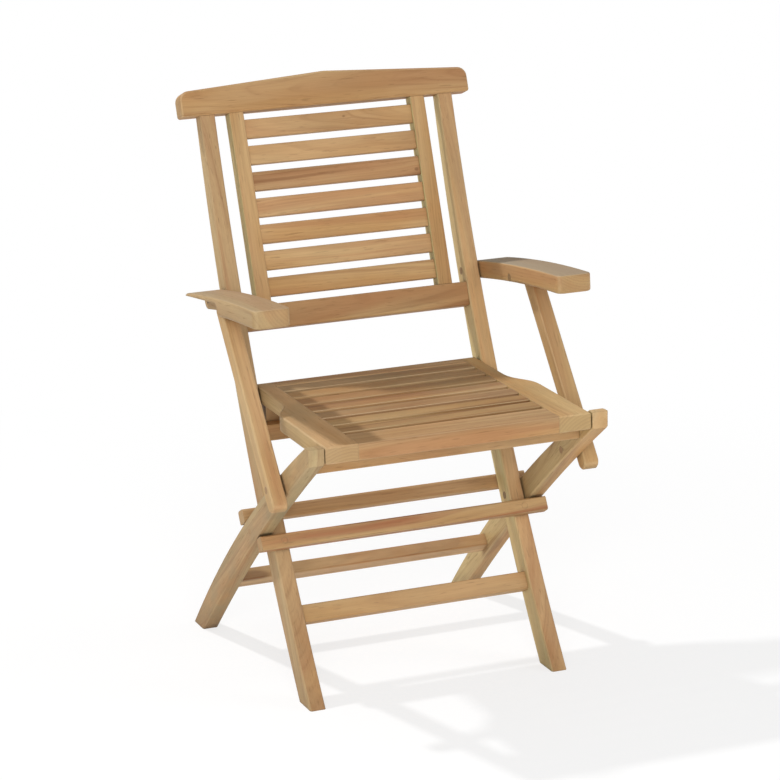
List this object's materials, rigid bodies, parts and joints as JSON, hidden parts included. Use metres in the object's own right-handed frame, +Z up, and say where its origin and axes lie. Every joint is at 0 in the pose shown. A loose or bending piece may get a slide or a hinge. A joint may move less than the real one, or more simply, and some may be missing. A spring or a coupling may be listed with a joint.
{
  "type": "folding wooden armchair",
  "caption": "Folding garden armchair of hardwood with crossed bowed legs, slatted seat and back, and arms on pivoted struts that rise as the legs close.",
  "frame": {"origin": "on the floor, under the middle of the open chair's width and depth", "axes": "+Z up, the sitter faces -Y, the chair's left side is +X"},
  "size_m": [0.5432, 0.5528, 0.8835],
  "materials": {
    "teak": "oiled teak, fine straight grain, satin",
    "teak_slat": "oiled teak slats, fine straight grain, satin",
    "teak_plug": "end-grain teak plugs, satin",
    "steel": "plain steel"
  },
  "bodies": {
    "long_frame": {"long_leg_left": "teak", "long_leg_right": "teak", "top_rail": "teak", "lower_back_rail": "teak", "back_stile_left": "teak", "back_stile_right": "teak", "back_slat_1": "teak_slat", "back_slat_2": "teak_slat", "back_slat_3": "teak_slat", "back_slat_4": "teak_slat", "back_slat_5": "teak_slat", "back_slat_6": "teak_slat", "back_slat_7": "teak_slat", "seat_support_rail": "teak", "front_stretcher": "teak", "front_stop_bar": "teak", "rear_stop_bar": "teak", "stop_bar_screws": "steel", "stop_bar_plugs": "teak_plug", "leg_pivot_bolts": "steel", "leg_pivot_washers": "steel", "arm_pivot_bolts": "steel", "arm_pivot_washers": "steel", "long_leg_nuts": "steel", "long_leg_plugs": "teak_plug", "seat_pivot_bolts": "steel"},
    "short_frame": {"short_leg_left": "teak", "short_leg_right": "teak", "front_cross_rail": "teak", "rear_stretcher": "teak", "leg_pivot_caps": "teak_plug", "short_leg_nuts": "steel", "short_leg_studs": "steel", "short_leg_plugs": "teak_plug"},
    "seat": {"seat_side_rail_left": "teak", "seat_side_rail_right": "teak", "seat_front_board": "teak", "seat_slat_1": "teak_slat", "seat_slat_2": "teak_slat", "seat_slat_3": "teak_slat", "seat_slat_4": "teak_slat", "seat_slat_5": "teak_slat", "seat_slat_6": "teak_slat", "seat_slat_7": "teak_slat", "seat_apron": "teak", "seat_pivot_caps": "teak_plug"},
    "left_arm": {"arm_left": "teak", "arm_plugs_left": "teak_plug", "strut_bolt_left": "steel"},
    "right_arm": {"arm_right": "teak", "arm_plugs_right": "teak_plug", "strut_bolt_right": "steel"},
    "left_strut": {"strut_left": "teak", "strut_foot_bolt_left": "steel", "strut_plugs_left": "teak_plug"},
    "right_strut": {"strut_right": "teak", "strut_foot_bolt_right": "steel", "strut_plugs_right": "teak_plug"}
  },
  "joints": [
    {"name": "leg_fold", "type": "hinge", "parent": "long_frame", "child": "short_frame", "pos_m": [0, -0.01277, 0.2361], "axis": [-1, 0, 0], "range_deg": [0, 56]},
    {"name": "seat_fold", "type": "hinge", "parent": "long_frame", "child": "seat", "pos_m": [0, 0.08056, 0.423], "axis": [-1, 0, 0], "range_deg": [0, 93.5]},
    {"name": "left_arm_lift", "type": "hinge", "parent": "long_frame", "child": "left_arm", "pos_m": [0.228, 0.14858, 0.563], "axis": [-1, 0, 0], "range_deg": [0, 74.4]},
    {"name": "right_arm_lift", "type": "hinge", "parent": "long_frame", "child": "right_arm", "pos_m": [-0.228, 0.14858, 0.563], "axis": [-1, 0, 0], "range_deg": [0, 74.4]},
    {"name": "left_strut_swing", "type": "hinge", "parent": "left_arm", "child": "left_strut", "pos_m": [0.253, 0.02129, 0.5769], "axis": [-1, 0, 0], "range_deg": [-90.1, 0]},
    {"name": "right_strut_swing", "type": "hinge", "parent": "right_arm", "child": "right_strut", "pos_m": [-0.253, 0.02129, 0.5769], "axis": [-1, 0, 0], "range_deg": [-90.1, 0]}
  ],
  "couplings": [
    {"joint": "seat_fold", "follows": "leg_fold", "ratio": 1.66},
    {"joint": "left_arm_lift", "follows": "leg_fold", "ratio": 1.32},
    {"joint": "right_arm_lift", "follows": "leg_fold", "ratio": 1.32},
    {"joint": "left_strut_swing", "follows": "leg_fold", "ratio": -1.6},
    {"joint": "right_strut_swing", "follows": "leg_fold", "ratio": -1.6}
  ]
}
